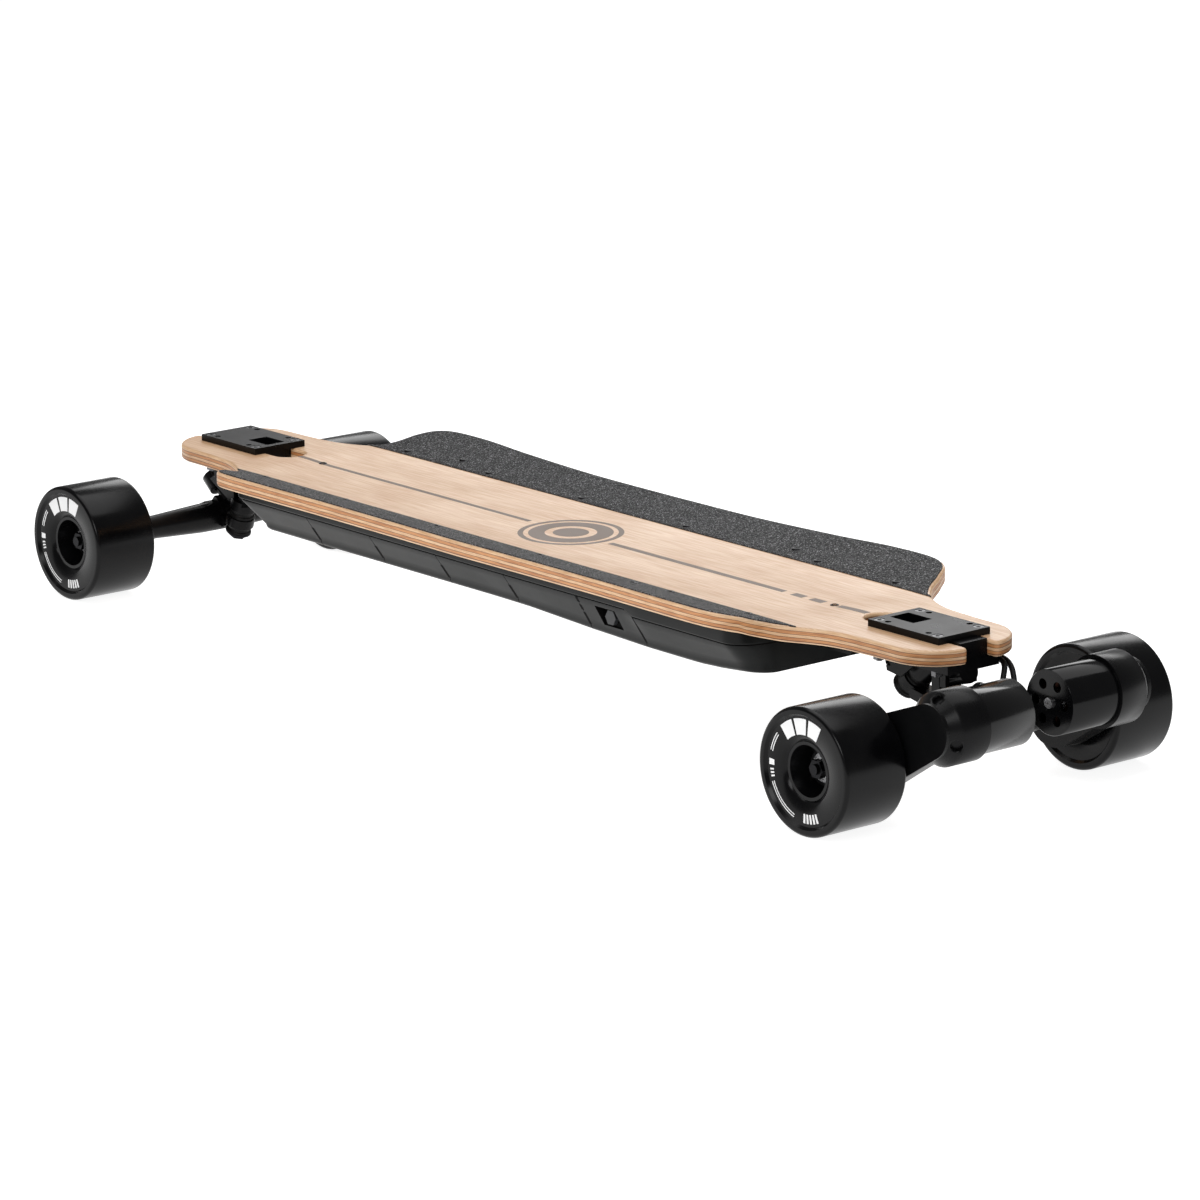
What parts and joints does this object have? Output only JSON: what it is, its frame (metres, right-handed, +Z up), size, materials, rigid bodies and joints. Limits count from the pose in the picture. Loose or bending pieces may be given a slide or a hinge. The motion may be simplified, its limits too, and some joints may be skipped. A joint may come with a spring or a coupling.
{
  "type": "electric skateboard",
  "caption": "Electric longboard with a dished bamboo deck, double-kingpin trucks, under-deck battery enclosure and rear belt drives.",
  "frame": {"origin": "middle of the bounding box on the ground, under the standing area", "axes": "+X towards the nose, +Y to the rider's left, +Z up; the wheels turn about Y"},
  "size_m": [1.0758, 0.33, 0.1313],
  "materials": {
    "bamboo": "satin lacquer over bamboo ply",
    "griptape": "coarse mineral grit",
    "enclosure": "fine satin texture",
    "truck_black": "satin black powder coat",
    "steel": "zinc-plated steel",
    "black_steel": "black oxide",
    "bushing": "satin urethane",
    "urethane": "glossy cast urethane",
    "core_black": "satin",
    "drive_grey": "satin anodised",
    "cover_black": "fine matt texture",
    "motor_black": "gloss black anodised",
    "copper": "enamelled copper windings",
    "belt": "matt",
    "cable": "braided sleeve",
    "cell_wrap": "shrink wrap",
    "circuit_board": "solder mask",
    "socket_metal": "turned",
    "button_rubber": "moulded silicone"
  },
  "bodies": {
    "board": {"deck": "bamboo", "griptape_left": "griptape", "griptape_right": "griptape", "truck_bolts": "black_steel", "enclosure_tray": "enclosure", "battery_segments": "enclosure", "port_bay": "enclosure", "controller_housing": "enclosure", "charge_socket": "socket_metal", "battery_cells": "cell_wrap", "controller_board": "circuit_board", "enclosure_screws": "black_steel", "rear_cable_cover": "enclosure", "front_baseplate": "truck_black", "rear_baseplate": "truck_black", "front_upper_kingpin": "steel", "rear_upper_kingpin": "steel", "front_upper_bushings": "bushing", "rear_upper_bushings": "bushing", "motor_cable_left": "cable", "motor_cable_right": "cable"},
    "power_button": {"power_button": "button_rubber"},
    "front_arm": {"front_arm": "truck_black", "front_lower_kingpin": "steel", "front_lower_bushings": "bushing"},
    "rear_arm": {"rear_arm": "truck_black", "rear_lower_kingpin": "steel", "rear_lower_bushings": "bushing"},
    "front_hanger": {"front_hanger": "truck_black", "front_axle": "steel", "front_axle_nuts": "steel"},
    "rear_hanger": {"rear_hanger": "truck_black", "rear_axle": "steel", "rear_axle_nuts": "steel", "drive_housing_left": "drive_grey", "drive_housing_right": "drive_grey", "drive_cover_left": "cover_black", "drive_cover_right": "cover_black", "motor_can_left": "motor_black", "motor_can_right": "motor_black", "motor_stator_left": "copper", "motor_stator_right": "copper", "drive_belt_left": "belt", "drive_belt_right": "belt"},
    "motor_rotor_left": {"motor_rotor_left": "steel"},
    "motor_rotor_right": {"motor_rotor_right": "steel"},
    "front_left_wheel": {"front_left_tyre": "urethane", "front_left_core": "core_black", "front_left_bearings": "steel"},
    "front_right_wheel": {"front_right_tyre": "urethane", "front_right_core": "core_black", "front_right_bearings": "steel"},
    "rear_left_wheel": {"rear_left_tyre": "urethane", "rear_left_core": "core_black", "rear_left_bearings": "steel", "wheel_pulley_left": "core_black"},
    "rear_right_wheel": {"rear_right_tyre": "urethane", "rear_right_core": "core_black", "rear_right_bearings": "steel", "wheel_pulley_right": "core_black"}
  },
  "joints": [
    {"name": "front_upper_steer", "type": "hinge", "parent": "board", "child": "front_arm", "pos_m": [0.42925, 0, 0.078], "axis": [0.9594, 0, 0.2822], "range_deg": [-10, 10], "stiffness_Nm_per_rad": 80, "deforming": ["front_upper_bushings"]},
    {"name": "front_lower_steer", "type": "hinge", "parent": "front_arm", "child": "front_hanger", "pos_m": [0.46525, 0, 0.048], "axis": [0.7643, 0, 0.6449], "range_deg": [-12, 12], "stiffness_Nm_per_rad": 80, "deforming": ["front_lower_bushings"]},
    {"name": "front_left_spin", "type": "hinge", "parent": "front_hanger", "child": "front_left_wheel", "pos_m": [0.48945, 0, 0.0485], "axis": [0, 1, 0], "continuous": true},
    {"name": "front_right_spin", "type": "hinge", "parent": "front_hanger", "child": "front_right_wheel", "pos_m": [0.48945, 0, 0.0485], "axis": [0, 1, 0], "continuous": true},
    {"name": "rear_upper_steer", "type": "hinge", "parent": "board", "child": "rear_arm", "pos_m": [-0.38475, 0, 0.078], "axis": [-0.9594, 0, 0.2822], "range_deg": [-10, 10], "stiffness_Nm_per_rad": 80, "deforming": ["rear_upper_bushings", "motor_cable_left", "motor_cable_right"]},
    {"name": "rear_lower_steer", "type": "hinge", "parent": "rear_arm", "child": "rear_hanger", "pos_m": [-0.42075, 0, 0.048], "axis": [-0.7643, 0, 0.6449], "range_deg": [-12, 12], "stiffness_Nm_per_rad": 80, "deforming": ["rear_lower_bushings"]},
    {"name": "rear_left_spin", "type": "hinge", "parent": "rear_hanger", "child": "rear_left_wheel", "pos_m": [-0.44495, 0, 0.0485], "axis": [0, 1, 0], "continuous": true},
    {"name": "rear_right_spin", "type": "hinge", "parent": "rear_hanger", "child": "rear_right_wheel", "pos_m": [-0.44495, 0, 0.0485], "axis": [0, 1, 0], "continuous": true},
    {"name": "motor_left_spin", "type": "hinge", "parent": "rear_hanger", "child": "motor_rotor_left", "pos_m": [-0.50995, 0, 0.081], "axis": [0, 1, 0], "continuous": true},
    {"name": "motor_right_spin", "type": "hinge", "parent": "rear_hanger", "child": "motor_rotor_right", "pos_m": [-0.50995, 0, 0.081], "axis": [0, 1, 0], "continuous": true},
    {"name": "power_press", "type": "slide", "parent": "board", "child": "power_button", "axis": [0, -1, 0], "range_m": [0, 0.0015], "stiffness_N_per_m": 500}
  ],
  "couplings": [
    {"joint": "motor_left_spin", "follows": "rear_left_spin", "ratio": 2.75},
    {"joint": "motor_right_spin", "follows": "rear_right_spin", "ratio": 2.75}
  ]
}
